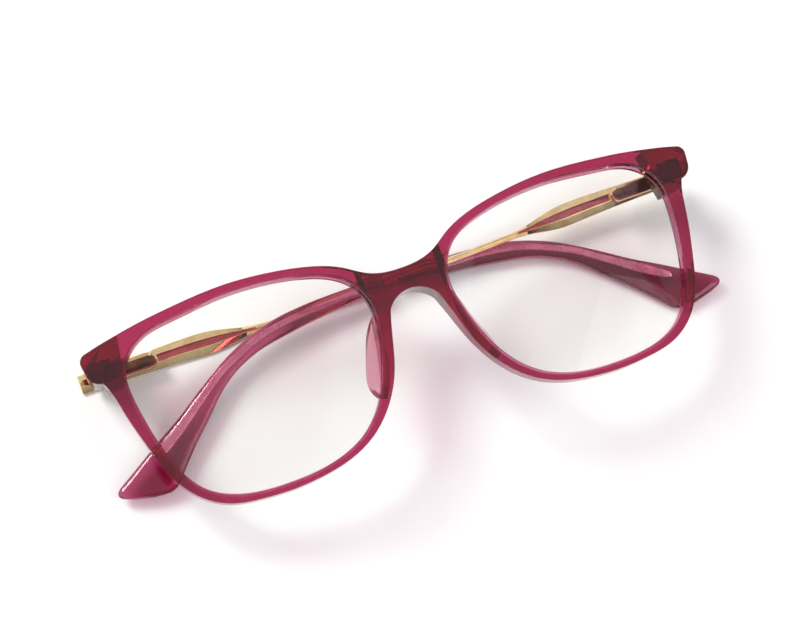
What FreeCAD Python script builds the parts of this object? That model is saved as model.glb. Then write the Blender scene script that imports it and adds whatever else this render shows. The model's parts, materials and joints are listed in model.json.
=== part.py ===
"""Full-rim eyeglasses with spring-hinged metal temples, folded and lying on the temples.

The pieces are drawn in the front's own frame: X across the face, Y up towards the brow, Z out of the
front, origin at the middle of the bridge on its front surface. The last step lays them on the table:
X stays across, Y points away, Z points up, and the origin is under the middle at table height.
All lengths are millimetres.
"""
import FreeCAD, Part
import math
import os

from FreeCAD import Vector

# ---- lens and rim ----
WRAP_RADIUS = 301.0          # the front is a slice of a cylinder about a vertical axis
RIM_DEPTH = 4.0              # front to back of the rims
BRIDGE_DEPTH = 6.6           # the bridge is deeper than the rims
SADDLE_PLAN = [(-10.0, -3.0), (-7.8, -6.9), (7.8, -6.9), (10.0, -3.0)]    # across, depth
SADDLE_SIDE = [(6.0, -3.0), (6.0, -6.6), (3.0, -6.6), (-9.0, -4.0), (-9.0, -3.0)]   # height, depth
SADDLE_FOOT = 3.0            # the saddle proper stands above this, its two feet run down from it
SADDLE_FEET_REACH = 13.0     # half width that the feet keep within
LENS_CENTRE = (35.0, 0.0)
LENS_THICKNESS = 1.8
LENS_SETBACK = 1.1           # from the rim's front surface to the lens
LENS_GROOVE = 0.6            # how far the lens sits into the rim
RIGHT_LENS = [               # the rim's opening round one lens
    (59.3, 0.0), (60.2, 6.4), (59.4, 13.2), (54.3, 17.7), (47.4, 18.9), (36.5, 19.7),
    (25.6, 18.9), (18.2, 17.2), (12.1, 14.0), (8.6, 8.0), (9.2, 0.2), (11.4, -6.7),
    (14.7, -12.6), (19.4, -17.1), (25.2, -19.7), (36.5, -20.9), (47.6, -19.2),
    (52.7, -16.2), (56.1, -11.3), (58.0, -5.8),
]
BROW_LINE = [                # top of the bridge, then along the brow to the endpiece
    (0.0, 12.4), (4.0, 12.7), (7.5, 13.9), (11.0, 16.2), (17.6, 19.0), (25.0, 20.6),
    (36.5, 21.7), (48.7, 21.1), (57.5, 20.1), (63.0, 19.2), (66.3, 18.5),
]
CHEEK_LINE = [               # from under the endpiece round the bottom and up to the nose
    (64.9, 11.4), (63.8, 8.4), (63.0, 4.5), (61.7, -1.0), (60.1, -6.5), (57.9, -12.4),
    (54.2, -17.5), (48.6, -20.9), (42.4, -22.1), (36.5, -22.5), (30.6, -22.2),
    (24.4, -21.1), (18.1, -18.4), (12.9, -13.7), (9.1, -7.4), (6.8, 0.0), (5.3, 4.9),
]
NOSE_ARCH = [(5.3, 4.9), (3.02, 7.03), (0.0, 7.8)]     # a round arc over the nose

# ---- endpiece ----
ENDPIECE_SIDE = [(66.3, 18.5), (67.5, 17.9), (68.0, 16.7)]
ENDPIECE_FOOT = [(67.7, 14.4), (66.9, 12.5), (64.9, 11.4)]
ENDPIECE_BLOCK = [(58.3, 24.0), (72.0, 24.0), (72.0, 9.8), (60.7, 9.8)]
ENDPIECE_BACK = -15.0

# ---- nose pads ----
PAD_REACH = 5.4              # how far the pads stand out behind the rims
PAD_SPLAY = 3.4              # how far they lean apart on the way back
PAD_TOP = 6.4
PAD_BOTTOM = -11.8
PAD_WIDTH = 2.5
PAD_ROUND = 10.6             # radius of the pads' back edge, seen from the side

# ---- hinge ----
HINGE_X = 65.6
HINGE_Y = 14.5
BUTT = 3.6                   # the temple's butt end reaches this far past the hinge axis
BUTT_GAP = 0.15
HINGE_Z = ENDPIECE_BACK - BUTT_GAP - BUTT
KNUCKLE_RADIUS = 1.3
KNUCKLE_HEIGHT = 1.3         # each of the front hinge's two knuckles
TONGUE_HEIGHT = 1.5          # the slider's single knuckle between them
KNUCKLE_GAP = 0.05
SCREW_RADIUS = 0.6
SCREW_RUNNING_GAP = 0.04
SCREW_HEAD_RADIUS = 1.1
SCREW_HEAD_HEIGHT = 0.6
SCREW_SLOT = 0.3
PLATE_THICKNESS = 0.9
PLATE_X = (61.8, 66.8)
ANCHOR_RADIUS = 1.1
ANCHOR_HEAD_RADIUS = 2.0
ANCHOR_X = 63.6

# ---- spring mechanism, along the temple from the hinge axis ----
BORE_RADIUS = 0.95
BORE_END = 12.4
SHANK_RADIUS = 0.9
SHANK_END = 3.05
ROD_RADIUS = 0.45
ROD_END = 11.0
NUT_LENGTH = 0.8
NUT_RADIUS = 0.85
BUSH_START = 3.2
BUSH_END = 4.4
BUSH_BORE = 0.5
COIL_RADIUS = 0.7
WIRE_RADIUS = 0.12
COIL_TURNS = 9
HOUSING_START = 1.5
HOUSING_END = 13.3
HOUSING_HEIGHT = 3.1
HOUSING_TOP = 1.3            # above the hinge axis, towards the front

# ---- temples ----
BAR_FACE = -1.4              # inner face of the flat metal bar, behind the hinge axis
BAR_THICKNESS = 1.3
BOW_RADIUS = 2000.0          # the temples bow gently inwards
BAR_TOP = [
    (-3.6, 16.7), (6.0, 16.8), (13.5, 16.9), (20.0, 17.0), (25.0, 16.8), (29.0, 16.1), (33.0, 15.1),
    (37.5, 14.6), (50.0, 14.2), (68.0, 14.0), (84.0, 13.7), (92.0, 12.9), (97.0, 11.8),
    (101.0, 10.2), (106.5, 7.7), (112.0, 4.1), (118.0, 0.2), (123.5, -3.3),
]
BAR_END = (125.8, -5.6)
BAR_BOTTOM = [
    (124.2, -6.2), (118.0, -2.4), (112.0, 2.1), (106.5, 6.0), (101.0, 8.7),
    (97.0, 10.3), (92.0, 11.5), (84.0, 12.4), (68.0, 12.7), (50.0, 12.9), (37.5, 13.2),
    (33.0, 13.0), (29.0, 12.4), (25.0, 12.0), (20.0, 12.2), (13.5, 12.5), (6.0, 12.7), (-3.6, 12.8),
]
SLEEVE_START = 68.0
SLEEVE_THICKNESS = 2.6
SLEEVE_TOP = [
    (68.0, 15.0), (76.0, 15.0), (84.0, 14.8), (91.0, 14.1), (96.0, 12.9), (101.0, 11.1),
    (106.0, 8.6), (112.0, 4.9), (118.0, 0.9), (124.0, -2.6), (130.0, -6.3), (134.6, -9.1),
]
SLEEVE_CORNER = (135.3, -10.0)
SLEEVE_END = [(134.8, -10.9), (130.0, -12.9), (124.8, -13.4)]
SLEEVE_HEEL = (123.3, -13.2)
SLEEVE_BOTTOM = [
    (122.5, -12.2), (119.5, -8.9), (116.0, -5.2), (112.0, -1.4), (108.0, 2.6), (104.0, 5.6),
    (100.0, 7.6), (96.0, 8.9), (91.0, 9.8), (84.0, 10.8), (76.0, 11.5), (68.0, 11.8),
]
LEFT_FOLD = 2.9              # degrees the left temple stands off, because the right lies under it
RIGHT_FOLD = 0.0

# ---- how it lies on the table ----
ROLL = -2.445                # degrees about Y, then
PITCH = 5.043                # degrees about X, so that the left temple's three low points touch

CUT_DEPTH = 40.0             # longer than any cut through the front
EXTRA = 5.0                  # cutting bodies stand this far proud


def spline(points):
    """A smooth open curve through points in the XY plane."""
    curve = Part.BSplineCurve()
    curve.interpolate([Vector(x, y, 0.0) for x, y in points])
    return curve.toShape()


def level_spline(points):
    """A smooth curve through points that leaves the middle of the face level."""
    vectors = [Vector(x, y, 0.0) for x, y in points]
    curve = Part.BSplineCurve()
    curve.interpolate(Points=vectors, InitialTangent=Vector(1.0, 0.0, 0.0),
                      FinalTangent=vectors[-1] - vectors[-2])
    return curve.toShape()


def arc(first, middle, last):
    """A circular arc through three points in the XY plane."""
    ends = [Vector(x, y, 0.0) for x, y in (first, middle, last)]
    return Part.Arc(*ends).toShape()


def line(first, last):
    """A straight edge between two points in the XY plane."""
    return Part.makeLine(Vector(first[0], first[1], 0.0), Vector(last[0], last[1], 0.0))


def slab(edges, bottom, top):
    """A flat solid between two heights, inside one closed line of edges."""
    wire = Part.Wire(Part.__sortEdges__(edges))
    face = Part.Face(wire)
    solid = face.extrude(Vector(0.0, 0.0, top - bottom))
    solid.translate(Vector(0.0, 0.0, bottom))
    return solid


def mirrored(shape):
    """The same shape on the other side of the face."""
    return shape.mirror(Vector(0.0, 0.0, 0.0), Vector(1.0, 0.0, 0.0))


def wrap_layer(front, back):
    """The layer of the wrapped front between two depths behind its front surface."""
    base = Vector(0.0, -CUT_DEPTH, -WRAP_RADIUS)
    up = Vector(0.0, 1.0, 0.0)
    outer = Part.makeCylinder(WRAP_RADIUS - front, 2 * CUT_DEPTH, base, up)
    inner = Part.makeCylinder(WRAP_RADIUS - back, 2 * CUT_DEPTH, base, up)
    return outer.cut(inner)


def lens_edges(grow):
    """The closed line round the right lens, moved outwards by grow."""
    points = []
    for x, y in RIGHT_LENS:
        across, up = x - LENS_CENTRE[0], y - LENS_CENTRE[1]
        stretch = 1.0 + grow / math.hypot(across, up)
        points.append(Vector(LENS_CENTRE[0] + across * stretch, LENS_CENTRE[1] + up * stretch, 0.0))
    curve = Part.BSplineCurve()
    curve.interpolate(points, PeriodicFlag=True)
    return [curve.toShape()]


def front_edges():
    """The closed outer line of the whole front, made from its right half."""
    side = ENDPIECE_SIDE
    foot = ENDPIECE_FOOT
    half = [
        level_spline(BROW_LINE),
        arc(*side),
        line(side[-1], foot[0]),
        arc(*foot),
        spline(CHEEK_LINE),
        arc(*NOSE_ARCH),
    ]
    return half + [mirrored(edge) for edge in half]


def lens_right():
    """One lens, its edge held in the rim's groove."""
    blank = slab(lens_edges(LENS_GROOVE), -CUT_DEPTH, EXTRA)
    return blank.common(wrap_layer(LENS_SETBACK, LENS_SETBACK + LENS_THICKNESS))


def endpiece_block():
    """The deep block at the right end of the front, flat at its back."""
    corners = ENDPIECE_BLOCK
    edges = [line(corners[i - 1], corners[i]) for i in range(len(corners))]
    block = slab(edges, ENDPIECE_BACK, EXTRA)
    front = Part.makeCylinder(WRAP_RADIUS, 2 * CUT_DEPTH, Vector(0, -CUT_DEPTH, -WRAP_RADIUS),
                              Vector(0, 1, 0))
    return block.common(front)


def saddle_block():
    """What the bridge's saddle is cut from: sloping ends, and two feet that run out down the rims."""
    plan = Part.makePolygon([Vector(x, SADDLE_FOOT, z) for x, z in SADDLE_PLAN + SADDLE_PLAN[:1]])
    side = Part.makePolygon([Vector(-SADDLE_FEET_REACH, y, z) for y, z in SADDLE_SIDE + SADDLE_SIDE[:1]])
    top = Part.Face(plan).extrude(Vector(0.0, CUT_DEPTH, 0.0))
    feet = Part.Face(side).extrude(Vector(2 * SADDLE_FEET_REACH, 0.0, 0.0))
    return top.fuse(feet)


def front_frame():
    """The one-piece front: two rims, the bridge and both endpieces, with grooves and hinge pockets."""
    outline = slab(front_edges(), -CUT_DEPTH, EXTRA)
    rims = outline.common(wrap_layer(0.0, RIM_DEPTH))
    saddle = outline.common(saddle_block()).common(wrap_layer(0.0, BRIDGE_DEPTH))
    end = outline.common(endpiece_block())
    body = rims.fuse([saddle, end, mirrored(end)])
    opening = slab(lens_edges(0.0), -CUT_DEPTH, EXTRA)
    lens = lens_right()
    hinge = front_hinge_right()
    cuts = [opening, lens, hinge]
    body = body.cut(cuts + [mirrored(shape) for shape in cuts])
    return body.removeSplitter()


def pad_edges(top, bottom, lean, width):
    """A crescent that follows the nose side of the right rim, between two heights."""
    middle = 0.5 * (top + bottom)
    inner = [(6.9 + lean, top), (7.9 + lean, middle), (11.9 + lean, bottom)]
    outer = [(7.6 + lean, top + 0.3), (7.9 + lean + width, middle), (12.7 + lean, bottom + 0.4)]
    return [arc(*inner), line(inner[2], outer[2]), arc(*outer[::-1]), line(outer[0], inner[0])]


def nose_pad_right():
    """A soft crescent pad behind the nose side of the right rim, leaning outwards at the back."""
    levels = [(0.0, 0.0, 0.0), (0.5, 0.45, 0.4), (1.0, 1.0, 2.2)]
    wires = []
    for reach, lean, trim in levels:
        edges = pad_edges(PAD_TOP - trim, PAD_BOTTOM + trim, PAD_SPLAY * lean,
                          PAD_WIDTH - 0.5 * trim)
        wire = Part.Wire(Part.__sortEdges__(edges))
        wire.translate(Vector(0.0, 0.0, -RIM_DEPTH - PAD_REACH * reach))
        wires.append(wire)
    pad = Part.makeLoft(wires, True, False)
    middle = Vector(0.0, 0.5 * (PAD_TOP + PAD_BOTTOM), PAD_ROUND - RIM_DEPTH - PAD_REACH)
    crescent = Part.makeCylinder(PAD_ROUND, CUT_DEPTH, middle, Vector(1, 0, 0))
    return pad.common(crescent).cut(front_frame())


def upright(radius, bottom, top, x=HINGE_X, z=HINGE_Z):
    """A vertical cylinder, by default about the hinge axis."""
    return Part.makeCylinder(radius, top - bottom, Vector(x, bottom, z), Vector(0, 1, 0))


def along(radius, start, end):
    """A cylinder along the folded right temple, between two distances from the hinge axis."""
    base = Vector(HINGE_X - start, HINGE_Y, HINGE_Z)
    return Part.makeCylinder(radius, end - start, base, Vector(-1, 0, 0))


def knuckle_levels():
    """Bottom and top heights of the front hinge's two knuckles."""
    reach = 0.5 * TONGUE_HEIGHT + KNUCKLE_GAP
    return [(HINGE_Y - reach - KNUCKLE_HEIGHT, HINGE_Y - reach),
            (HINGE_Y + reach, HINGE_Y + reach + KNUCKLE_HEIGHT)]


def front_hinge_right():
    """The front half of the right hinge: two knuckles, a plate and an anchor set in the endpiece."""
    levels = knuckle_levels()
    low, high = levels[0][0], levels[1][1]
    plate = Part.makeBox(PLATE_X[1] - PLATE_X[0], high - low, PLATE_THICKNESS,
                         Vector(PLATE_X[0], low, ENDPIECE_BACK))
    solids = []
    for bottom, top in levels:
        ear = Part.makeBox(2 * KNUCKLE_RADIUS - 0.1, top - bottom, ENDPIECE_BACK - HINGE_Z + 0.2,
                           Vector(HINGE_X - KNUCKLE_RADIUS, bottom, HINGE_Z))
        solids.append(ear)
        solids.append(upright(KNUCKLE_RADIUS, bottom, top))
    stem_base = Vector(ANCHOR_X, HINGE_Y, ENDPIECE_BACK + 0.5)
    solids.append(Part.makeCylinder(ANCHOR_RADIUS, 3.0, stem_base, Vector(0, 0, 1)))
    head_base = stem_base + Vector(0.0, 0.0, 2.4)
    solids.append(Part.makeCylinder(ANCHOR_HEAD_RADIUS, 0.8, head_base, Vector(0, 0, 1)))
    hinge = plate.fuse(solids)
    return hinge.cut(upright(SCREW_RADIUS, low - EXTRA, high + EXTRA)).removeSplitter()


def hinge_screw_right():
    """The slotted screw that is the right hinge's pin."""
    low = knuckle_levels()[0][0]
    high = knuckle_levels()[1][1]
    shank = upright(SCREW_RADIUS, low, high + 0.2)
    head = upright(SCREW_HEAD_RADIUS, high, high + SCREW_HEAD_HEIGHT)
    slot = Part.makeBox(4.0, 1.0, SCREW_SLOT,
                        Vector(HINGE_X - 2.0, high + SCREW_HEAD_HEIGHT - 0.3, HINGE_Z - SCREW_SLOT / 2))
    return shank.fuse(head).cut(slot).removeSplitter()


def hinge_slider_right():
    """The sprung half of the right hinge: one knuckle, a shank and the rod that the spring sits on."""
    half = 0.5 * TONGUE_HEIGHT
    knuckle = upright(KNUCKLE_RADIUS, HINGE_Y - half, HINGE_Y + half)
    neck = Part.makeBox(HOUSING_START, TONGUE_HEIGHT, 2 * 0.6,
                        Vector(HINGE_X - HOUSING_START - 0.2, HINGE_Y - half, HINGE_Z - 0.6))
    shank = along(SHANK_RADIUS, KNUCKLE_RADIUS + KNUCKLE_GAP, SHANK_END)
    rod = along(ROD_RADIUS, 2.0, ROD_END)
    pin_hole = upright(SCREW_RADIUS + SCREW_RUNNING_GAP, HINGE_Y - EXTRA, HINGE_Y + EXTRA)
    return knuckle.fuse([neck, shank, rod]).cut(pin_hole).removeSplitter()


def rod_nut_right():
    """The nut at the rod's far end, which the spring pushes against."""
    return along(NUT_RADIUS, ROD_END - NUT_LENGTH, ROD_END).cut(along(ROD_RADIUS, 2.0, ROD_END))


def flex_spring_right():
    """The coil spring on the rod, between the bush and the nut."""
    length = ROD_END - NUT_LENGTH - BUSH_END - 4 * WIRE_RADIUS
    pitch = length / COIL_TURNS
    path = Part.makeHelix(pitch, length, COIL_RADIUS)
    slope = Vector(0.0, COIL_RADIUS, pitch / (2 * math.pi))
    circle = Part.Circle(Vector(COIL_RADIUS, 0.0, 0.0), slope, WIRE_RADIUS).toShape()
    coil = Part.Wire(path.Edges).makePipeShell([Part.Wire([circle])], True, True)
    coil.rotate(Vector(0, 0, 0), Vector(0, 1, 0), -90.0)
    start = HINGE_X - BUSH_END - 2 * WIRE_RADIUS
    coil.translate(Vector(start, HINGE_Y, HINGE_Z))
    return coil


def spring_bush_right():
    """The stop ring fixed in the housing's mouth, which the rod slides through."""
    return along(BORE_RADIUS, BUSH_START, BUSH_END).cut(along(BUSH_BORE, 0.0, ROD_END))


def bowed_band(start, end, face, thickness, bottom, top):
    """A band of even thickness that follows the right temple's bow, between two heights."""
    def rail(offset):
        ends = [start, 0.5 * (start + end), end]
        return [(HINGE_X - u, HINGE_Z + offset + u * abs(u) / (2 * BOW_RADIUS)) for u in ends]

    inner, outer = rail(face), rail(face - thickness)
    edges = [arc(*inner), line(inner[2], outer[2]), arc(*outer[::-1]), line(outer[0], inner[0])]
    band = slab(edges, 0.0, top - bottom)
    band.rotate(Vector(0, 0, 0), Vector(1, 0, 0), 90.0)
    band.translate(Vector(0.0, top, 0.0))
    return band


def side_view(edges):
    """A slab with the right temple's side outline, drawn as distance from the axis and height."""
    flat = slab(edges, -CUT_DEPTH, CUT_DEPTH)
    flat = mirrored(flat)
    flat.translate(Vector(HINGE_X, 0.0, HINGE_Z))
    return flat


def bar_edges():
    """The side outline of the metal bar and its core."""
    end = arc(BAR_TOP[-1], BAR_END, BAR_BOTTOM[0])
    return [spline(BAR_TOP), end, spline(BAR_BOTTOM), line(BAR_BOTTOM[-1], BAR_TOP[0])]


def sleeve_edges():
    """The side outline of the plastic tip."""
    corner = arc(SLEEVE_TOP[-1], SLEEVE_CORNER, SLEEVE_END[0])
    heel = arc(SLEEVE_END[-1], SLEEVE_HEEL, SLEEVE_BOTTOM[0])
    back = line(SLEEVE_BOTTOM[-1], SLEEVE_TOP[0])
    return [spline(SLEEVE_TOP), corner, arc(*SLEEVE_END), heel, spline(SLEEVE_BOTTOM), back]


def temple_bar_right():
    """The flat metal bar with its sculpted swell and the thin core that runs on into the tip."""
    band = bowed_band(-BUTT, 128.0, BAR_FACE, BAR_THICKNESS, -CUT_DEPTH, CUT_DEPTH)
    return side_view(bar_edges()).common(band)


def temple_tip_right():
    """The plastic tip over the core: straight, bent down behind the ear, and flared at its end."""
    middle = BAR_FACE - 0.5 * BAR_THICKNESS
    face = middle + 0.5 * SLEEVE_THICKNESS
    band = bowed_band(SLEEVE_START, 138.0, face, SLEEVE_THICKNESS, -CUT_DEPTH, CUT_DEPTH)
    return side_view(sleeve_edges()).common(band).cut(temple_bar_right())


def spring_housing_right():
    """The raised, round-ended box on the bar's inner face that holds the spring."""
    depth = HOUSING_TOP - BAR_FACE
    half = 0.5 * HOUSING_HEIGHT
    straight = HOUSING_END - half
    box = Part.makeBox(straight - HOUSING_START, HOUSING_HEIGHT, depth,
                       Vector(HINGE_X - straight, HINGE_Y - half, HINGE_Z + BAR_FACE))
    nose = Part.makeCylinder(half, depth, Vector(HINGE_X - straight, HINGE_Y, HINGE_Z + BAR_FACE),
                             Vector(0, 0, 1))
    body = box.fuse(nose).removeSplitter()
    body = body.cut(along(BORE_RADIUS, 0.0, BORE_END))
    band = bowed_band(-BUTT, 30.0, BAR_FACE, BAR_THICKNESS, -CUT_DEPTH, CUT_DEPTH)
    return body.cut(band)


def tilted(shape):
    """The shape turned level with the table, still about the bridge."""
    out = shape.copy()
    out.rotate(Vector(0, 0, 0), Vector(0, 1, 0), ROLL)
    out.rotate(Vector(0, 0, 0), Vector(1, 0, 0), PITCH)
    return out


def folded(shape, side, angle):
    """A right-hand temple piece on the given side, turned off the front by the fold angle."""
    out = shape if side == "right" else mirrored(shape)
    sign = 1.0 if side == "right" else -1.0
    out = out.copy()
    out.rotate(Vector(sign * HINGE_X, 0.0, HINGE_Z), Vector(0, 1, 0), -sign * angle)
    return out


FRONT_PIECES = {
    "lens": lens_right,
    "nose_pad": nose_pad_right,
    "front_hinge": front_hinge_right,
    "hinge_screw": hinge_screw_right,
}
TEMPLE_PIECES = {
    "hinge_slider": hinge_slider_right,
    "rod_nut": rod_nut_right,
    "flex_spring": flex_spring_right,
    "spring_bush": spring_bush_right,
    "spring_housing": spring_housing_right,
    "temple_bar": temple_bar_right,
    "temple_tip": temple_tip_right,
}


def all_pieces():
    """Every node's shape by name, turned level with the table."""
    nodes = {"front_frame": tilted(front_frame())}
    for name, make in FRONT_PIECES.items():
        shape = make()
        nodes[f"{name}_right"] = tilted(shape)
        nodes[f"{name}_left"] = tilted(mirrored(shape))
    for name, make in TEMPLE_PIECES.items():
        shape = make()
        nodes[f"{name}_right"] = tilted(folded(shape, "right", RIGHT_FOLD))
        nodes[f"{name}_left"] = tilted(folded(shape, "left", LEFT_FOLD))
    return nodes


def table_shift(nodes):
    """The move that puts the middle of the object's box over the origin, standing on Z = 0."""
    box = Part.makeCompound(list(nodes.values())).optimalBoundingBox()
    return Vector(-box.Center.x, -box.Center.y, -box.ZMin)


def main():
    """Makes every piece, lays the whole on the table and writes one file for each."""
    os.makedirs("parts", exist_ok=True)
    nodes = all_pieces()
    shift = table_shift(nodes)
    print(f"bridge lies at {shift.x:.3f} {shift.y:.3f} {shift.z:.3f}")
    for name, shape in nodes.items():
        shape.translate(shift)
        shape.exportStep(f"parts/{name}.step")
        print(f"{name:20s} {shape.Volume:9.2f} mm3 solids {len(shape.Solids)} {shape.isValid()}")


if __name__ == "__main__":
    main()
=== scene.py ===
"""Looks of a folded pair of plastic and metal eyeglasses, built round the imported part.

Everything is in metres in the part's own frame: X across the face, Y away over the table, Z up.
Sizes in the classes are millimetres, as a maker would write them down.
"""
import json
import logging
import math
from contextlib import contextmanager
from dataclasses import dataclass, field
from enum import Enum
from typing import Iterable, Iterator, Sequence

import bmesh
import bpy
from mathutils import Matrix, Vector


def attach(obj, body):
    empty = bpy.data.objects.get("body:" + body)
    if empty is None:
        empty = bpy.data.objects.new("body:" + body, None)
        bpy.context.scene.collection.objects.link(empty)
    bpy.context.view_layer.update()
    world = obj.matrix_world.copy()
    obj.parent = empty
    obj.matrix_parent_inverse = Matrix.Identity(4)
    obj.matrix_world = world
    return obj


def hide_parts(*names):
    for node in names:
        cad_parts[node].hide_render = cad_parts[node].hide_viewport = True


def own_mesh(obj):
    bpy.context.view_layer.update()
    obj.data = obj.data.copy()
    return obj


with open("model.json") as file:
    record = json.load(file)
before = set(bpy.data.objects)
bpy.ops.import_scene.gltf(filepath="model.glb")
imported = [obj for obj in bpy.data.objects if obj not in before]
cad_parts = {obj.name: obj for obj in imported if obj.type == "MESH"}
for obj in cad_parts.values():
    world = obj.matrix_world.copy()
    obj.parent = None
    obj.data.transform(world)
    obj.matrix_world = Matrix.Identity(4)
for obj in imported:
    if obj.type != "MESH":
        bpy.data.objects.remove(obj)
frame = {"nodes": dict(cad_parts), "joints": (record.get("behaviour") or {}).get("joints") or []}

MM = 0.001
NOISE_LOW, NOISE_HIGH = 0.3, 0.7   # what a noise texture hardly ever goes outside
RAMP_LOW, RAMP_HIGH = 0.35, 0.65   # where a two-colour cloud is wholly one colour
LOG = logging.getLogger("eyeglasses")
Pair = tuple[float, float]


class Side(Enum):
    """The two sides of the face, as seen by somebody looking at the front."""

    LEFT = "left"
    RIGHT = "right"


# ---- colours and nodes ----


def linear(hex_colour: str) -> tuple[float, float, float, float]:
    """Turns an sRGB hex colour into the linear one that a shader takes.

    Args:
        hex_colour: six hex digits after a hash.

    Returns:
        Red, green, blue and an alpha of 1.
    """
    shares = [int(hex_colour[i : i + 2], 16) / 255 for i in (1, 3, 5)]
    rgb = [s / 12.92 if s <= 0.04045 else ((s + 0.055) / 1.055) ** 2.4 for s in shares]
    return (rgb[0], rgb[1], rgb[2], 1.0)


def add_node(
    tree: bpy.types.NodeTree, kind: str, settings: dict | None = None, links: dict | None = None
) -> bpy.types.Node:
    """Adds one node with its settings and links.

    Args:
        tree: the material's node tree.
        kind: the node's type name.
        settings: values by property name or input name, or input number.
        links: output sockets by input name or input number.

    Returns:
        The new node.
    """
    node = tree.nodes.new(kind)
    for name, value in (settings or {}).items():
        if isinstance(name, str) and hasattr(node, name) and name not in node.inputs:
            setattr(node, name, value)
        else:
            node.inputs[name].default_value = value
    for name, socket in (links or {}).items():
        tree.links.new(socket, node.inputs[name])
    return node


def tinted_by_noise(
    tree: bpy.types.NodeTree, grain: float, first: str, second: str, stretch: Sequence[float] = (1, 1, 1)
) -> tuple[bpy.types.NodeSocket, bpy.types.NodeSocket]:
    """A soft cloud of two colours on the piece's own coordinates.

    Args:
        tree: the material's node tree.
        grain: size of the cloud's lumps in mm.
        first: hex colour of the hollows.
        second: hex colour of the lumps.
        stretch: how the cloud is scaled along each axis.

    Returns:
        The colour's socket and the plain noise's socket.
    """
    place = add_node(tree, "ShaderNodeTexCoord")
    scaled = add_node(
        tree, "ShaderNodeMapping", {"Scale": tuple(stretch)}, {"Vector": place.outputs["Object"]}
    )
    noise = add_node(
        tree,
        "ShaderNodeTexNoise",
        {"Scale": 1.0 / (grain * MM), "Detail": 3.0, "Roughness": 0.55},
        {"Vector": scaled.outputs["Vector"]},
    )
    ramp = add_node(tree, "ShaderNodeValToRGB", None, {"Fac": noise.outputs["Fac"]})
    ramp.color_ramp.elements[0].position = RAMP_LOW
    ramp.color_ramp.elements[0].color = linear(first)
    ramp.color_ramp.elements[1].position = RAMP_HIGH
    ramp.color_ramp.elements[1].color = linear(second)
    return ramp.outputs["Color"], noise.outputs["Fac"]


def rough_between(
    tree: bpy.types.NodeTree, source: bpy.types.NodeSocket, low: float, high: float
) -> bpy.types.NodeSocket:
    """Roughness that follows a noise between two values.

    Args:
        tree: the material's node tree.
        source: the noise's socket.
        low: the smoothest roughness.
        high: the dullest roughness.

    Returns:
        The roughness's socket.
    """
    spread = add_node(
        tree,
        "ShaderNodeMapRange",
        {"From Min": NOISE_LOW, "From Max": NOISE_HIGH, "To Min": low, "To Max": high},
        {"Value": source},
    )
    return spread.outputs["Result"]


@dataclass(frozen=True)
class Finish:
    """A named surface finish that is made once and shared."""

    name: str

    def material(self) -> bpy.types.Material:
        """The finish's material, made the first time it is asked for.

        Returns:
            The shared material.
        """
        made = bpy.data.materials.get(self.name)
        if made is None:
            made = bpy.data.materials.new(self.name)
            made.use_nodes = True
            made.node_tree.nodes.clear()
            out = add_node(made.node_tree, "ShaderNodeOutputMaterial")
            self.build(made.node_tree, out)
        return made

    def build(self, tree: bpy.types.NodeTree, out: bpy.types.Node) -> None:
        """Fills the empty tree and links it to the output.

        Args:
            tree: the material's node tree.
            out: the material's output node.
        """
        raise NotImplementedError


@dataclass(frozen=True)
class TintedPlastic(Finish):
    """Polished see-through plastic that darkens with its depth.

    Cellulose acetate is cut from sheet and tumbled smooth. Its dye is in the body of the sheet, so
    thin rims glow and thick ends go nearly black, under a wet-looking skin.
    """

    pale: str = "#FBE6EF"
    deep: str = "#F4CFDF"
    body: tuple[float, float, float] = (0.79, 0.08, 0.46)
    density: float = 1020.0
    haze: str = "#A01040"
    haze_share: float = 0.08
    cast: str = "#E0D3D8"
    cloud: float = 5.0
    ripple: float = 2.5
    ripple_depth: float = 0.008
    smooth: float = 0.01
    dull: float = 0.035

    def build(self, tree: bpy.types.NodeTree, out: bpy.types.Node) -> None:
        """Tinted glass with a soft ripple, a dyed body, and a paler shadow.

        Args:
            tree: the material's node tree.
            out: the material's output node.
        """
        colour, noise = tinted_by_noise(tree, self.cloud, self.deep, self.pale)
        _, waves = tinted_by_noise(tree, self.ripple, "#000000", "#FFFFFF")
        bump = add_node(
            tree, "ShaderNodeBump", {"Strength": 0.5, "Distance": self.ripple_depth * MM}, {"Height": waves}
        )
        skin = add_node(
            tree,
            "ShaderNodeBsdfPrincipled",
            {"IOR": 1.5, "Transmission Weight": 1.0},
            {
                "Base Color": colour,
                "Roughness": rough_between(tree, noise, self.smooth, self.dull),
                "Normal": bump.outputs["Normal"],
            },
        )
        depths = add_node(tree, "ShaderNodeBsdfDiffuse", {"Color": linear(self.haze)})
        cloudy = add_node(
            tree, "ShaderNodeMixShader", {0: self.haze_share}, {1: skin.outputs[0], 2: depths.outputs[0]}
        )
        through = add_node(tree, "ShaderNodeBsdfTransparent", {"Color": linear(self.cast)})
        path = add_node(tree, "ShaderNodeLightPath")
        lighting = add_node(
            tree,
            "ShaderNodeMath",
            {"operation": "MAXIMUM"},
            {0: path.outputs["Is Shadow Ray"], 1: path.outputs["Is Diffuse Ray"]},
        )
        mixed = add_node(
            tree,
            "ShaderNodeMixShader",
            None,
            {0: lighting.outputs[0], 1: cloudy.outputs[0], 2: through.outputs[0]},
        )
        dye = add_node(
            tree, "ShaderNodeVolumeAbsorption", {"Color": (*self.body, 1.0), "Density": self.density}
        )
        tree.links.new(mixed.outputs[0], out.inputs["Surface"])
        tree.links.new(dye.outputs[0], out.inputs["Volume"])


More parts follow.
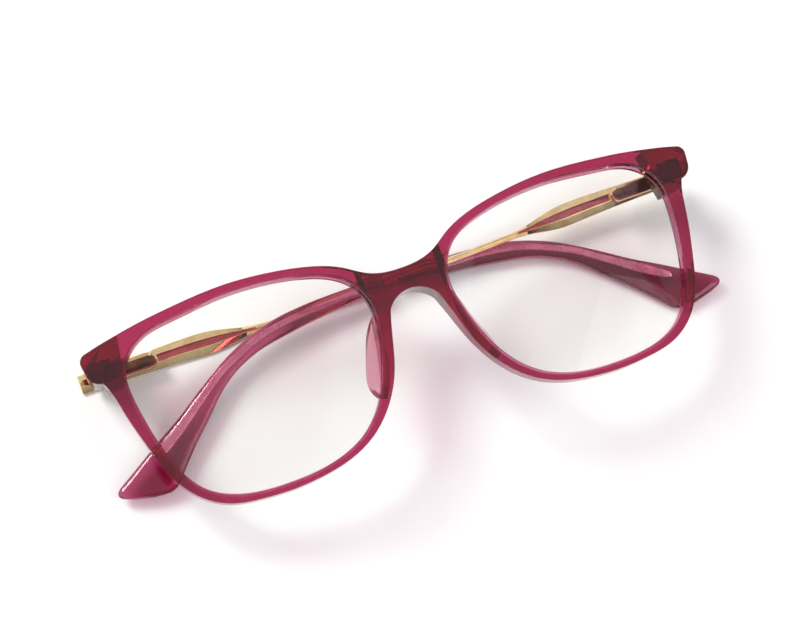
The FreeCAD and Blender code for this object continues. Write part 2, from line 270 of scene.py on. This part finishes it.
@dataclass(frozen=True)
class ClearLens(Finish):
    """A thin polished clear lens: all that shows of it is a faint gleam, the same from both sides."""

    tint: str = "#FCFCFB"
    gleam: float = 0.015
    slanting_gleam: float = 0.9
    slope: float = 5.0
    smear: float = 9.0

    def build(self, tree: bpy.types.NodeTree, out: bpy.types.Node) -> None:
        """See-through, with the reflection of a smooth coated surface.

        Args:
            tree: the material's node tree.
            out: the material's output node.
        """
        clear = add_node(tree, "ShaderNodeBsdfTransparent", {"Color": linear(self.tint)})
        _, smear = tinted_by_noise(tree, self.smear, "#000000", "#FFFFFF")
        gleam = add_node(
            tree,
            "ShaderNodeBsdfGlossy",
            {"Color": linear("#F4F7FA")},
            {"Roughness": rough_between(tree, smear, 0.01, 0.03)},
        )
        slant = add_node(tree, "ShaderNodeLayerWeight", {"Blend": 0.5})
        steep = add_node(
            tree, "ShaderNodeMath", {"operation": "POWER", 1: self.slope}, {0: slant.outputs["Facing"]}
        )
        edge = add_node(
            tree,
            "ShaderNodeMath",
            {"operation": "MULTIPLY_ADD", 1: self.slanting_gleam, 2: self.gleam},
            {0: steep.outputs[0]},
        )
        mixed = add_node(
            tree, "ShaderNodeMixShader", None, {0: edge.outputs[0], 1: clear.outputs[0], 2: gleam.outputs[0]}
        )
        tree.links.new(mixed.outputs[0], out.inputs["Surface"])


@dataclass(frozen=True)
class Metal(Finish):
    """A plated or drawn metal with fine marks along its length.

    Polishing on a wheel leaves hair-thin marks and patches that are a little less bright.
    """

    bright: str = "#FADDA8"
    dark: str = "#EDC086"
    smooth: float = 0.05
    dull: float = 0.11
    patch: float = 3.0
    marks: float = 0.25
    mark_depth: float = 0.0008
    stretch: tuple[float, float, float] = (0.08, 1.0, 1.0)

    def build(self, tree: bpy.types.NodeTree, out: bpy.types.Node) -> None:
        """A metal with patches in its shine and marks in its surface.

        Args:
            tree: the material's node tree.
            out: the material's output node.
        """
        colour, patches = tinted_by_noise(tree, self.patch, self.dark, self.bright)
        _, hairs = tinted_by_noise(tree, self.marks, "#000000", "#FFFFFF", self.stretch)
        bump = add_node(
            tree, "ShaderNodeBump", {"Strength": 0.35, "Distance": self.mark_depth * MM}, {"Height": hairs}
        )
        skin = add_node(
            tree,
            "ShaderNodeBsdfPrincipled",
            {"Metallic": 1.0},
            {
                "Base Color": colour,
                "Roughness": rough_between(tree, patches, self.smooth, self.dull),
                "Normal": bump.outputs["Normal"],
            },
        )
        tree.links.new(skin.outputs[0], out.inputs["Surface"])


@dataclass(frozen=True)
class TableTop(Finish):
    """Smooth white laminate with a faint mottle."""

    def build(self, tree: bpy.types.NodeTree, out: bpy.types.Node) -> None:
        """A pale matt surface.

        Args:
            tree: the material's node tree.
            out: the material's output node.
        """
        colour, noise = tinted_by_noise(tree, 40.0, "#F3F3F4", "#F8F8F8")
        skin = add_node(
            tree,
            "ShaderNodeBsdfPrincipled",
            {"Specular IOR Level": 0.25},
            {"Base Color": colour, "Roughness": rough_between(tree, noise, 0.5, 0.6)},
        )
        tree.links.new(skin.outputs[0], out.inputs["Surface"])


# Tumbled acetate sheet: wet-looking, glowing where it is thin.
FRONT_PLASTIC = TintedPlastic("acetate_raspberry_polished")
# The same sheet slit for the temples, a touch bluer round its metal blade.
TIP_PLASTIC = TintedPlastic(
    "acetate_raspberry_tip", pale="#F8DDE8", deep="#EEC2D3", body=(0.78, 0.08, 0.46), density=980.0,
    haze="#9A1648", haze_share=0.08,
)
# Moulded silicone: paler and softer in its shine than the front.
PAD_PLASTIC = TintedPlastic(
    "silicone_pink_moulded",
    pale="#F9DDE2",
    deep="#F3CBD3",
    body=(0.86, 0.40, 0.60),
    density=330.0,
    haze="#D98A9C",
    haze_share=0.10,
    cast="#F3E4E8",
    smooth=0.10,
    dull=0.18,
)
# Cast polymer with a coating: seen only by its gleam at a slant.
LENS_CLEAR = ClearLens("polymer_lens_coated")
# Plating over nickel silver, wheel-polished: warm and nearly a mirror.
GOLD = Metal("gold_plate_polished")
# The same gold blade inside the tip, its colour painted near white as a painted sheen, so that it shows as a
# pale streak through the dyed plastic.
CORE_PAINTED_SHEEN = Metal("gold_plate_painted_sheen", bright="#FFF4E8", dark="#F2DED0", smooth=0.22, dull=0.34)
# The hinge's foot moulded into the plastic, its metal painted dark brown: painted shade for the dark patch it
# makes inside the thick endpiece.
ANCHOR_PAINTED_SHADE = Metal("nickel_silver_painted_shade", bright="#5E443C", dark="#34221F", smooth=0.25, dull=0.40)
# The sunk top of the spring box: the same plating, painted dark brown as painted shade from its rim.
RECESS_PAINTED_SHADE = Metal("gold_plate_painted_shade", bright="#8E5E42", dark="#5E3828", smooth=0.12, dull=0.22)
# A metallic pink band on the middle facet of the bar's swell, coloured into the plating.
PINK_FACET_BAND = Metal("raspberry_band_on_gold", bright="#C8605E", dark="#B04A58", smooth=0.06, dull=0.14)
# Milled and barrelled: satin, with patches a millimetre across.
HINGE_METAL = Metal(
    "nickel_silver_satin",
    bright="#D9C3A0",
    dark="#B39C7C",
    smooth=0.20,
    dull=0.34,
    patch=1.2,
    marks=0.12,
    mark_depth=0.002,
)
# Drawn wire: grey, with die marks too fine to see one by one.
SPRING_WIRE = Metal(
    "spring_steel_drawn", bright="#A6A6A8", dark="#7E7F83", smooth=0.24, dull=0.36, patch=0.6, marks=0.05,
    mark_depth=0.002,
)
TABLE = TableTop("laminate_white_matt")


# ---- bench tools ----


def deselect() -> None:
    """Leaves edit mode and selects nothing."""
    if bpy.context.object is not None and bpy.context.object.mode != "OBJECT":
        bpy.ops.object.mode_set(mode="OBJECT")
    bpy.ops.object.select_all(action="DESELECT")


def pick(piece: bpy.types.Object) -> None:
    """Selects one piece alone and makes it active."""
    deselect()
    piece.select_set(True)
    bpy.context.view_layer.objects.active = piece


@contextmanager
def editing(piece: bpy.types.Object) -> Iterator[bmesh.types.BMesh]:
    """Edit mode on one piece, with nothing selected.

    Args:
        piece: the piece to edit.

    Yields:
        Its edit mesh.
    """
    pick(piece)
    bpy.ops.object.mode_set(mode="EDIT")
    bpy.ops.mesh.select_mode(type="VERT")
    bpy.ops.mesh.select_all(action="DESELECT")
    yield bmesh.from_edit_mesh(piece.data)
    bpy.ops.object.mode_set(mode="OBJECT")


def choose(piece: bpy.types.Object, wanted: Iterable[int]) -> None:
    """Selects vertices by number, and nothing else, in edit mode.

    Args:
        piece: the piece in edit mode.
        wanted: the vertices' numbers.
    """
    bpy.ops.mesh.select_all(action="DESELECT")
    mesh = bmesh.from_edit_mesh(piece.data)
    mesh.verts.ensure_lookup_table()
    for number in wanted:
        mesh.verts[number].select = True
    mesh.select_flush_mode()
    bmesh.update_edit_mesh(piece.data)


def finish_with(piece: bpy.types.Object, kind: str, **settings: object) -> None:
    """Adds one modifier with its settings and applies it.

    Args:
        piece: the piece.
        kind: the modifier's type.
        settings: values by property name.
    """
    pick(piece)
    modifier = piece.modifiers.new(kind.lower(), kind)
    for name, value in settings.items():
        setattr(modifier, name, value)
    bpy.ops.object.modifier_apply(modifier=modifier.name)


def softened(piece: bpy.types.Object, width: float, segments: int, over: float) -> None:
    """Rounds a piece's edges as tumbling does.

    Args:
        piece: the piece.
        width: width of the rounding in mm.
        segments: facets across it.
        over: edges sharper than this many degrees are rounded.
    """
    finish_with(
        piece,
        "BEVEL",
        width=width * MM,
        segments=segments,
        limit_method="ANGLE",
        angle_limit=math.radians(over),
        use_clamp_overlap=True,
        miter_outer="MITER_ARC",
    )


def shaded(piece: bpy.types.Object, angle: float) -> None:
    """Smooth shading up to an angle in degrees."""
    pick(piece)
    bpy.ops.object.shade_smooth_by_angle(angle=math.radians(angle))


def copy_of(node: str, name: str) -> bpy.types.Object:
    """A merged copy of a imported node, ready to be worked on.

    Args:
        node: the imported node's name.
        name: the new piece's name.

    Returns:
        The new piece, with its flat faces whole again.
    """
    mesh = frame["nodes"][node].data.copy()
    mesh.name = name
    mesh.materials.clear()
    piece = bpy.data.objects.new(name, mesh)
    bpy.context.scene.collection.objects.link(piece)
    pick(piece)
    if mesh.has_custom_normals:
        bpy.ops.mesh.customdata_custom_splitnormals_clear()
    with editing(piece):
        bpy.ops.mesh.select_all(action="SELECT")
        bpy.ops.mesh.remove_doubles(threshold=0.002 * MM)
        bpy.ops.mesh.dissolve_limited(angle_limit=math.radians(0.4))
    return piece


def between(t: float, p: float, q: float, r: float, s: float) -> float:
    """A share t of the way from q to r on the smooth curve through all four."""
    return 0.5 * (2 * q + (r - p) * t + (2 * p - 5 * q + 4 * r - s) * t * t + (3 * q - p - 3 * r + s) * t**3)


def smooth_rows(rows: Sequence[Sequence[float]], steps: int) -> list[list[float]]:
    """A smooth curve through rows of numbers.

    Args:
        rows: the rows that the curve passes through.
        steps: how many rows to give for each gap.

    Returns:
        The rows with the new ones between them.
    """
    out: list[list[float]] = []
    last = len(rows) - 1
    for i in range(last):
        near = (rows[max(i - 1, 0)], rows[i], rows[i + 1], rows[min(i + 2, last)])
        out += [[between(k / steps, *values) for values in zip(*near)] for k in range(steps)]
    out.append(list(rows[-1]))
    return out


@dataclass(frozen=True)
class Station:
    """One cross-section of a drawn strip, in mm and radians."""

    along: float
    height: float
    tall: float
    thick: float
    turn: float
    depth: float


def drawn_strip(name: str, section: Sequence[Pair], stations: Sequence[Station]) -> bpy.types.Object:
    """A closed strip with one section, extruded ring by ring and then bent into place.

    Args:
        name: the new piece's name.
        section: the section's corners for a strip 1 mm high and 1 mm thick.
        stations: the rings in order.

    Returns:
        The new piece, along X, with its height along Y and its thickness along Z.
    """
    deselect()
    bpy.ops.mesh.primitive_circle_add(vertices=len(section), radius=MM, fill_type="NGON")
    piece = bpy.context.object
    piece.name = piece.data.name = name
    size = len(section)
    with editing(piece) as mesh:
        mesh.verts.ensure_lookup_table()
        starts = [v.co.copy() for v in mesh.verts]
        for number, (y, z) in enumerate(section):
            choose(piece, [number])
            bpy.ops.transform.translate(value=Vector((0.0, y * MM, z * MM)) - starts[number])
        bpy.ops.mesh.select_all(action="SELECT")
        for _ in stations[1:]:
            bpy.ops.mesh.extrude_region_move(TRANSFORM_OT_translate={"value": (MM, 0.0, 0.0)})
        mesh = bmesh.from_edit_mesh(piece.data)
        rings: list[list[int]] = [[] for _ in stations]
        for vert in mesh.verts:
            rings[round(vert.co.x / MM)].append(vert.index)
        for number, (ring, station) in enumerate(zip(rings, stations)):
            assert len(ring) == size
            choose(piece, ring)
            middle = (number * MM, 0.0, 0.0)
            bpy.ops.transform.resize(value=(1.0, station.tall, station.thick), center_override=middle)
            if abs(station.turn) > 1e-6:
                bpy.ops.transform.rotate(value=-station.turn, orient_axis="Z", center_override=middle)
            bpy.ops.transform.translate(
                value=((station.along - number) * MM, station.height * MM, station.depth * MM)
            )
        bpy.ops.mesh.select_all(action="SELECT")
        bpy.ops.mesh.normals_make_consistent(inside=False)
    return piece


def put(piece: bpy.types.Object, place: Matrix) -> None:
    """Moves a finished mesh to its place, the right way out, with its object left at the origin.

    Args:
        piece: the piece, as drawn.
        place: where it goes.
    """
    piece.data.transform(place)
    if place.determinant() < 0:
        piece.data.flip_normals()


def settle(piece: bpy.types.Object, finish: Finish, body: str, slot: str, *nodes: str) -> None:
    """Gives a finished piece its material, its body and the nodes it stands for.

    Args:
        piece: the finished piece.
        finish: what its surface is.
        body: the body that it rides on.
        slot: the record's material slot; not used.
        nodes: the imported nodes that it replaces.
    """
    piece.data.materials.clear()
    piece.data.materials.append(finish.material())
    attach(piece, body)
    if nodes:
        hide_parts(*nodes)
    LOG.info("%s: %d faces on %s", piece.name, len(piece.data.polygons), body)


# ---- where things are ----


@dataclass(frozen=True)
class Layout:
    """The front's own axes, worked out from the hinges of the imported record."""

    hinge_height: float = 14.5
    hinge_depth: float = -18.75

    def joint(self, name: str) -> dict:
        """The record's joint of that name."""
        return next(j for j in frame["joints"] if j["name"] == name)

    def front(self) -> Matrix:
        """From millimetres in the front's frame to metres in the part's frame.

        Returns:
            The front's place, with its scale.
        """
        left = Vector(self.joint("hinge_left")["pos_m"])
        right = Vector(self.joint("hinge_right")["pos_m"])
        across = (right - left).normalized()
        up = Vector(self.joint("hinge_left")["axis"]).normalized()
        out = across.cross(up)
        origin = (left + right) / 2 - (up * self.hinge_height + out * self.hinge_depth) * MM
        turned = Matrix((across, up, out)).transposed().to_4x4()
        return Matrix.Translation(origin) @ turned @ Matrix.Scale(MM, 4)

    def temple(self, side: Side) -> Matrix:
        """From metres along, up and inward on one folded temple to metres in the part's frame.

        Args:
            side: which temple.

        Returns:
            The temple's place.
        """
        front = self.front().to_3x3().normalized()
        up = front.col[1].copy()
        along = Vector(self.joint(f"flex_{side.value}")["axis"]).normalized()
        inward = along.cross(up) if side is Side.LEFT else up.cross(along)
        pin = Vector(self.joint(f"hinge_{side.value}")["pos_m"])
        turned = Matrix((along, up, inward)).transposed().to_4x4()
        return Matrix.Translation(pin - up * self.hinge_height * MM) @ turned


# ---- the front ----


@dataclass
class Front:
    """The one-piece plastic front with its lenses, nose pads and moulded-in hinge halves."""

    rounding: float = 0.55
    pad_rounding: float = 0.6
    pad_gap: float = 0.06
    metal_grip: float = 0.03
    endpiece_back: float = -15.0
    layout: Layout = field(default_factory=Layout)

    def build(self) -> None:
        """Makes and dresses every piece of the front."""
        self.plastic()
        for side in Side:
            self.lens(side)
            self.pad(side)
            self.hinge_plate(side)
            dress(frame["nodes"][f"hinge_screw_{side.value}"], HINGE_METAL)

    def plastic(self) -> None:
        """Two rims, the bridge and both ends, tumbled round at their edges."""
        piece = copy_of("front_frame", "front_plastic")
        softened(piece, self.rounding, 4, 28.0)
        shaded(piece, 32.0)
        settle(piece, FRONT_PLASTIC, "front", "frame_plastic", "front_frame")

    def lens(self, side: Side) -> None:
        """One clear lens with a smooth curved face.

        Args:
            side: which side's piece.
        """
        piece = copy_of(f"lens_{side.value}", f"clear_lens_{side.value}")
        softened(piece, 0.12, 2, 40.0)
        shaded(piece, 30.0)
        settle(piece, LENS_CLEAR, "front", "clear_lens", f"lens_{side.value}")

    def pad(self, side: Side) -> None:
        """One soft nose pad, a hair away from the rim so that their skins stay apart.

        Args:
            side: which side's piece.
        """
        piece = copy_of(f"nose_pad_{side.value}", f"soft_pad_{side.value}")
        softened(piece, self.pad_rounding, 4, 30.0)
        shaded(piece, 50.0)
        back = -(self.layout.front().to_3x3().normalized().col[2])
        piece.data.transform(Matrix.Translation(back * self.pad_gap * MM))
        settle(piece, PAD_PLASTIC, "front", "pad_silicone", f"nose_pad_{side.value}")

    def hinge_plate(self, side: Side) -> None:
        """The front half of one hinge, gripped by the plastic.

        Args:
            side: which side's piece.
        """
        piece = copy_of(f"front_hinge_{side.value}", f"hinge_plate_{side.value}")
        with editing(piece):
            bpy.ops.mesh.select_all(action="SELECT")
            bpy.ops.transform.shrink_fatten(value=self.metal_grip * MM)
        softened(piece, 0.08, 2, 40.0)
        shaded(piece, 30.0)
        settle(piece, HINGE_METAL, "front", "hinge_metal", f"front_hinge_{side.value}")
        # Faces inside the endpiece take the painted shade, much darker than the metal itself.
        piece.data.materials.append(ANCHOR_PAINTED_SHADE.material())
        to_front = self.layout.front().inverted()
        for face in piece.data.polygons:
            if (to_front @ face.center).z > self.endpiece_back:
                face.material_index = 1


def dress(node: bpy.types.Object, finish: Finish) -> None:
    """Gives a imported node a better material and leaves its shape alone.

    Args:
        node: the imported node's object.
        finish: what its surface is.
    """
    node.data.materials.clear()
    node.data.materials.append(finish.material())
    LOG.info("%s: dressed in %s", node.name, finish.name)


# ---- the temples ----

BAR_ROWS = [  # distance from the hinge, top, bottom
    (-3.6, 16.7, 12.8), (6.0, 16.8, 12.7), (13.5, 16.9, 12.5), (20.0, 17.0, 12.2), (25.0, 16.8, 12.0),
    (29.0, 16.1, 12.4), (33.0, 15.1, 13.0), (37.5, 14.6, 13.2), (50.0, 14.2, 12.9), (68.0, 14.0, 12.7),
    (84.0, 13.7, 12.4), (92.0, 12.9, 11.5), (97.0, 11.8, 10.3), (101.0, 10.2, 8.7), (106.5, 7.7, 6.0),
    (112.0, 4.1, 2.1), (118.0, 0.2, -2.4), (122.5, -2.9, -5.3), (124.8, -4.6, -6.2), (125.6, -5.4, -5.9),
]
TIP_ROWS = [  # top edge's place, then the bottom edge's, at each ring
    (68.0, 15.0, 68.0, 11.8), (68.3, 15.0, 68.3, 11.8), (76.0, 15.0, 76.0, 11.5), (84.0, 14.8, 84.0, 10.8),
    (91.0, 14.1, 91.0, 9.8), (96.0, 12.9, 96.0, 8.9), (101.0, 11.1, 100.0, 7.6), (106.0, 8.6, 104.0, 5.6),
    (112.0, 4.9, 108.0, 2.6), (118.0, 0.9, 112.0, -1.4), (124.0, -2.6, 116.0, -5.2),
    (130.0, -6.3, 119.5, -8.9), (134.3, -8.9, 122.3, -12.0),
]
TIP_END_ROWS = [  # the same, with the share of the full thickness, round the end
    (134.3, -8.9, 122.3, -12.0, 1.0), (135.0, -9.6, 122.9, -12.6, 0.98), (135.2, -10.3, 123.7, -13.0, 0.92),
    (134.8, -11.0, 124.7, -13.3, 0.80), (133.9, -11.5, 126.0, -13.3, 0.60),
    (132.2, -12.1, 128.2, -13.1, 0.28),
]


@dataclass
class Temple:
    """One folded temple: sculpted gold bar, spring box, plastic tip and the sprung hinge half."""

    side: Side
    bar_thick: float = 1.3
    full_thick_above: float = 1.2
    bar_steps: int = 3
    tip_thick: float = 2.6
    tip_mouth: float = 0.86
    tip_square: float = 3.4
    tip_corners: int = 28
    tip_steps: int = 4
    end_steps: int = 2
    middle: float = -2.05
    bow: float = 4000.0
    box_rim: float = 0.42
    box_recess: float = 0.14
    flat: float = 0.999
    slack: float = 0.01
    core_start: float = 68.0
    coil_start: float = 4.4
    coil_end: float = 10.2
    flex_travel: float = 1.6
    stripe: Pair = (13.0, 36.0)
    stripe_least: float = 0.2
    layout: Layout = field(default_factory=Layout)

    def build(self) -> None:
        """Makes and dresses every piece of the temple."""
        self.bar()
        self.core()
        self.tip()
        self.coil()
        self.spring_box()
        name = self.side.value
        dress(frame["nodes"][f"hinge_slider_{name}"], HINGE_METAL)
        dress(frame["nodes"][f"rod_nut_{name}"], HINGE_METAL)
        dress(frame["nodes"][f"spring_bush_{name}"], HINGE_METAL)

    def depth(self, along: float) -> float:
        """How far the bowed temple's middle plane lies inward at a distance from the hinge."""
        return self.middle + along * abs(along) / self.bow

    def bar(self) -> None:
        """The metal bar: a flat back, and an inner face cut in three long facets."""
        section = [
            (-0.5, -0.30), (-0.38, -0.5), (0.38, -0.5), (0.5, -0.30),
            (0.5, 0.02), (0.20, 0.5), (-0.16, 0.5), (-0.5, -0.05),
        ]
        stations = self.bar_stations([row for row in BAR_ROWS if row[0] <= self.core_start])
        piece = drawn_strip(f"gold_bar_{self.side.value}", section, stations)
        softened(piece, 0.09, 2, 14.0)
        shaded(piece, 12.0)
        start, end = (u * MM for u in self.stripe)
        stripe = [
            f.index
            for f in piece.data.polygons
            if f.normal.z > 0.99 and start < f.center.x < end and f.area > self.stripe_least * MM * MM
        ]
        put(piece, self.layout.temple(self.side))
        settle(piece, GOLD, f"temple_{self.side.value}", "gold_metal", f"temple_bar_{self.side.value}")
        # The middle facet of the swell takes the metallic pink band.
        piece.data.materials.append(PINK_FACET_BAND.material())
        for number in stripe:
            piece.data.polygons[number].material_index = 1

    def bar_stations(self, rows: Sequence[Sequence[float]]) -> list[Station]:
        """Rings through rows of distance, top and bottom, thinner where the bar is very low.

        Args:
            rows: distance from the hinge, top and bottom of the bar.

        Returns:
            The rings in order.
        """
        stations = []
        for along, top, low in smooth_rows(rows, self.bar_steps):
            tall = top - low
            thick = self.bar_thick * min(1.0, tall / self.full_thick_above)
            stations.append(Station(along, (top + low) / 2, tall, thick, 0.0, self.depth(along)))
        return stations

    def core(self) -> None:
        """The flat blade that the bar becomes inside the plastic tip."""
        section = [
            (-0.5, -0.4), (-0.42, -0.5), (0.42, -0.5), (0.5, -0.4),
            (0.5, 0.4), (0.42, 0.5), (-0.42, 0.5), (-0.5, 0.4),
        ]
        stations = self.bar_stations([row for row in BAR_ROWS if row[0] >= self.core_start])
        piece = drawn_strip(f"gold_core_{self.side.value}", section, stations)
        softened(piece, 0.06, 2, 30.0)
        shaded(piece, 25.0)
        put(piece, self.layout.temple(self.side))
        # The blade's near-white colour is a painted sheen in place of its gold.
        settle(piece, CORE_PAINTED_SHEEN, f"temple_{self.side.value}", "gold_metal")

    def coil(self) -> None:
        """The spring on the rod, copied from the imported coil and carried by the slider."""
        name = self.side.value
        piece = copy_of(f"flex_spring_{name}", f"coil_{name}")
        shaded(piece, 60.0)
        settle(piece, SPRING_WIRE, f"slider_{name}", "spring_steel", f"flex_spring_{name}")
        place = self.layout.temple(self.side)
        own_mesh(piece)

    def tip(self) -> None:
        """The plastic tip, round-edged, bent and flared, with its end cut askew."""
        name = self.side.value
        section = []
        for k in range(self.tip_corners):
            angle = 2 * math.pi * k / self.tip_corners
            section.append((self.squared(math.cos(angle)), self.squared(math.sin(angle))))
        stations = [self.tip_station(row, 1.0) for row in smooth_rows(TIP_ROWS, self.tip_steps)]
        stations[0] = self.tip_station(TIP_ROWS[0], self.tip_mouth)
        stations += [self.tip_station(row[:4], row[4]) for row in smooth_rows(TIP_END_ROWS, self.end_steps)[1:]]
        piece = drawn_strip(f"plastic_tip_{name}", section, stations)
        shaded(piece, 50.0)
        put(piece, self.layout.temple(self.side))
        settle(piece, TIP_PLASTIC, f"temple_{name}", "tip_plastic", f"temple_tip_{name}")

    def squared(self, share: float) -> float:
        """A point of a circle pushed out towards its square, for a section 1 mm wide."""
        return 0.5 * math.copysign(abs(share) ** (2 / self.tip_square), share)

    def tip_station(self, row: Sequence[float], share: float) -> Station:
        """One ring of the tip from its top and bottom places.

        Args:
            row: the top edge's distance and height, then the bottom edge's.
            share: the share of the full thickness here.

        Returns:
            The ring.
        """
        top_u, top, low_u, low = row
        along = (top_u + low_u) / 2
        tall = math.hypot(top_u - low_u, top - low)
        turn = math.atan2(-(top_u - low_u), top - low)
        return Station(along, (top + low) / 2, tall, self.tip_thick * share, turn, self.depth(along))

    def spring_box(self) -> None:
        """The raised round-ended box, its top sunk inside a bright rim and painted dark as shade."""
        name = self.side.value
        piece = copy_of(f"spring_housing_{name}", f"spring_box_{name}")
        inward = self.layout.temple(self.side).to_3x3().col[2]
        with editing(piece) as mesh:
            bpy.ops.mesh.select_mode(type="FACE")
            flat = [f for f in mesh.faces if f.normal.dot(inward) > self.flat]
            highest = max(f.calc_center_median().dot(inward) for f in flat)
            for face in flat:
                face.select = face.calc_center_median().dot(inward) > highest - self.slack * MM
            bmesh.update_edit_mesh(piece.data)
            bpy.ops.mesh.inset(thickness=self.box_rim * MM, depth=0.0)
            bpy.ops.transform.translate(value=-inward * self.box_recess * MM)
        softened(piece, 0.16, 3, 35.0)
        shaded(piece, 25.0)
        # The sunk faces get a painted shade, darker than the plating round them.
        floor = highest - (self.box_recess + self.slack) * MM
        sunk = [
            f.index
            for f in piece.data.polygons
            if f.normal.dot(inward) > self.flat and floor < f.center.dot(inward) < highest - self.slack * MM
        ]
        settle(piece, GOLD, f"temple_{name}", "gold_metal", f"spring_housing_{name}")
        piece.data.materials.append(RECESS_PAINTED_SHADE.material())
        for number in sunk:
            piece.data.polygons[number].material_index = 1


# ---- table, lights and camera ----


@dataclass
class Studio:
    """A pale table, soft lamps and the camera."""

    camera_at: tuple[float, float, float] = (-74.2, -51.3, 414.8)
    camera_right: tuple[float, float, float] = (0.92834, -0.35488, 0.11068)
    camera_up: tuple[float, float, float] = (0.33315, 0.92634, 0.17581)
    lens_length: float = 93.4
    sensor: float = 36.0
    table_size: float = 6.0
    sky_strength: float = 0.75
    sky_low: str = "#4A4648"
    sky_high: str = "#FBFBFD"
    bright_from: float = 0.75
    bright_towards: tuple[float, float, float] = (-0.25, 0.35, 0.90)
    layout: Layout = field(default_factory=Layout)

    def build(self) -> None:
        """Sets up everything round the glasses."""
        self.table()
        self.sky()
        self.lamp("key_lamp", (-0.55, 0.75, 0.9), 0.5, 13.0, "#FFFDF8")
        self.lamp("fill_lamp", (0.8, -0.5, 1.0), 0.8, 5.5, "#F6F8FF")
        self.camera()

    def table(self) -> None:
        """The table top, a large flat plane just under the glasses."""
        deselect()
        bpy.ops.mesh.primitive_plane_add(size=self.table_size, location=(0.0, 0.0, -0.00002))
        floor = bpy.context.object
        floor.name = floor.data.name = "table_top"
        floor.data.materials.append(TABLE.material())

    def sky(self) -> None:
        """Even soft light from all round."""
        world = bpy.data.worlds.new("soft_room")
        bpy.context.scene.world = world
        world.use_nodes = True
        tree = world.node_tree
        background = tree.nodes["Background"]
        background.inputs["Strength"].default_value = self.sky_strength
        place = add_node(tree, "ShaderNodeTexCoord")
        slope = add_node(
            tree,
            "ShaderNodeVectorMath",
            {"operation": "DOT_PRODUCT", 1: self.bright_towards},
            {0: place.outputs["Generated"]},
        )
        ramp = add_node(tree, "ShaderNodeValToRGB", None, {"Fac": slope.outputs["Value"]})
        ramp.color_ramp.elements[0].position = 0.0
        ramp.color_ramp.elements[0].color = linear(self.sky_low)
        ramp.color_ramp.elements[1].position = self.bright_from
        ramp.color_ramp.elements[1].color = linear(self.sky_high)
        tree.links.new(ramp.outputs["Color"], background.inputs["Color"])

    def lamp(
        self, name: str, place: tuple[float, float, float], size: float, power: float, colour: str
    ) -> None:
        """One square soft lamp that faces the glasses.

        Args:
            name: the lamp's name.
            place: where it hangs, in metres.
            size: its side in metres.
            power: its power in watts.
            colour: its hex colour.
        """
        data = bpy.data.lights.new(name, "AREA")
        data.size = size
        data.energy = power
        data.color = linear(colour)[:3]
        lamp = bpy.data.objects.new(name, data)
        bpy.context.scene.collection.objects.link(lamp)
        lamp.location = place
        lamp.rotation_mode = "QUATERNION"
        lamp.rotation_quaternion = (-Vector(place)).to_track_quat("-Z", "Y")

    def camera(self) -> None:
        """The camera, held above the glasses and a little to the lower left."""
        data = bpy.data.cameras.new("camera")
        data.lens = self.lens_length
        data.sensor_width = self.sensor
        data.clip_start = 0.01
        camera = bpy.data.objects.new("camera", data)
        bpy.context.scene.collection.objects.link(camera)
        front = self.layout.front()
        turned = front.to_3x3().normalized()
        right = turned @ Vector(self.camera_right)
        up = turned @ Vector(self.camera_up)
        back = right.cross(up)
        held = Matrix((right, up, back)).transposed().to_4x4()
        camera.matrix_world = Matrix.Translation(front @ Vector(self.camera_at)) @ held
        bpy.context.scene.camera = camera
        bpy.context.scene.view_settings.view_transform = "Standard"


def main() -> None:
    """Builds the glasses and the studio in order."""
    logging.basicConfig(level=logging.INFO, format="%(name)s: %(message)s")
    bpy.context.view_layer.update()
    Front().build()
    for side in Side:
        Temple(side).build()
    Studio().build()


if __name__ == "__main__":
    main()
